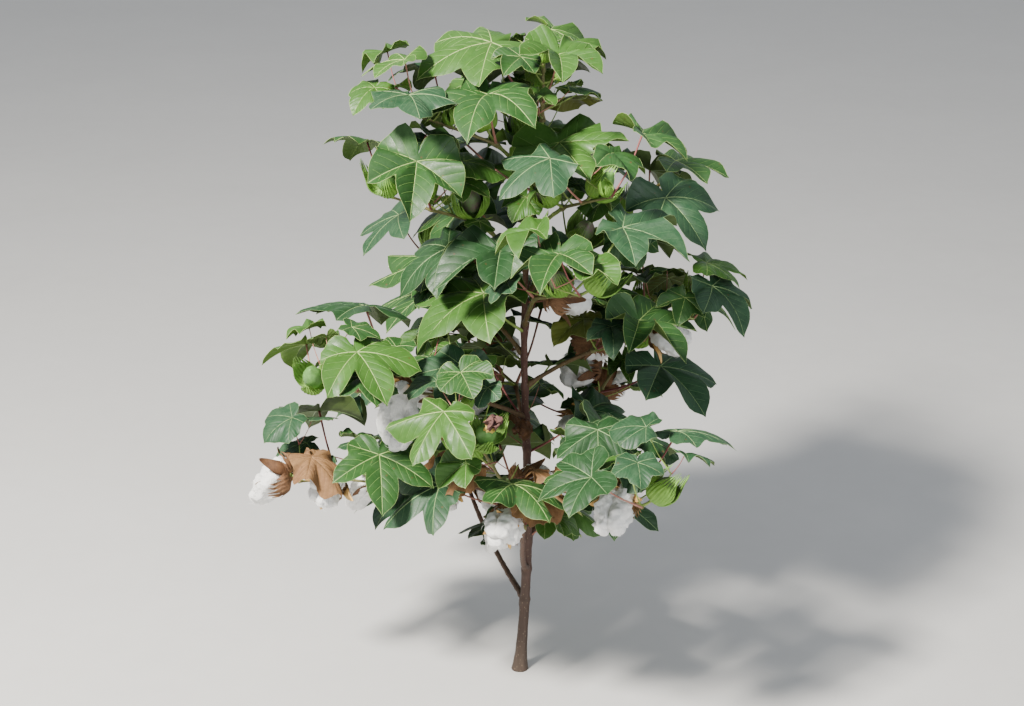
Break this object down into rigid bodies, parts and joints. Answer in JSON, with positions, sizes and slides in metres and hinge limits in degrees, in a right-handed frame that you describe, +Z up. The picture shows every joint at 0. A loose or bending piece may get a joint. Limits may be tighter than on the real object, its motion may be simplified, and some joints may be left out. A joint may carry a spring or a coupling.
{
  "type": "cotton plant",
  "caption": "A whole cotton plant in full leaf: upright main stem, zigzag fruiting branches, broad lobed leaves, open bolls of white lint, green bolls and buds.",
  "frame": {"origin": "the middle of the flat cut under the main stem, at ground level", "axes": "+Z up along the upright plant; the picture's camera looks along +Y, with +X to its right"},
  "size_m": [0.7038, 0.7281, 0.9777],
  "materials": {
    "stem_bark": "matte",
    "branch_bark": "matte",
    "foliage": "matte"
  },
  "bodies": {
    "root": {"main_stem": "stem_bark", "vegetative_branch_1": "branch_bark", "vegetative_branch_2": "branch_bark", "vegetative_branch_3": "branch_bark", "fruiting_branch_04": "branch_bark", "fruiting_branch_05": "branch_bark", "fruiting_branch_06": "branch_bark", "fruiting_branch_07": "branch_bark", "fruiting_branch_08": "branch_bark", "fruiting_branch_09": "branch_bark", "fruiting_branch_10": "branch_bark", "fruiting_branch_11": "branch_bark", "fruiting_branch_12": "branch_bark", "fruiting_branch_13": "branch_bark", "fruiting_branch_14": "branch_bark", "fruiting_branch_15": "branch_bark", "vegetative_foliage_1": "foliage", "vegetative_foliage_2": "foliage", "vegetative_foliage_3": "foliage", "fruiting_foliage_04": "foliage", "fruiting_foliage_05": "foliage", "fruiting_foliage_06": "foliage", "fruiting_foliage_07": "foliage", "fruiting_foliage_08": "foliage", "fruiting_foliage_09": "foliage", "fruiting_foliage_10": "foliage", "fruiting_foliage_11": "foliage", "fruiting_foliage_12": "foliage", "fruiting_foliage_13": "foliage", "fruiting_foliage_14": "foliage", "fruiting_foliage_15": "foliage", "growing_tip": "foliage", "stem_leaf_04": "foliage", "stem_leaf_05": "foliage", "stem_leaf_06": "foliage", "stem_leaf_07": "foliage", "stem_leaf_08": "foliage", "stem_leaf_09": "foliage", "stem_leaf_10": "foliage", "stem_leaf_11": "foliage", "stem_leaf_12": "foliage", "stem_leaf_13": "foliage", "stem_leaf_14": "foliage", "stem_leaf_15": "foliage", "stem_leaf_16": "foliage", "stem_leaf_17": "foliage"}
  },
  "joints": []
}
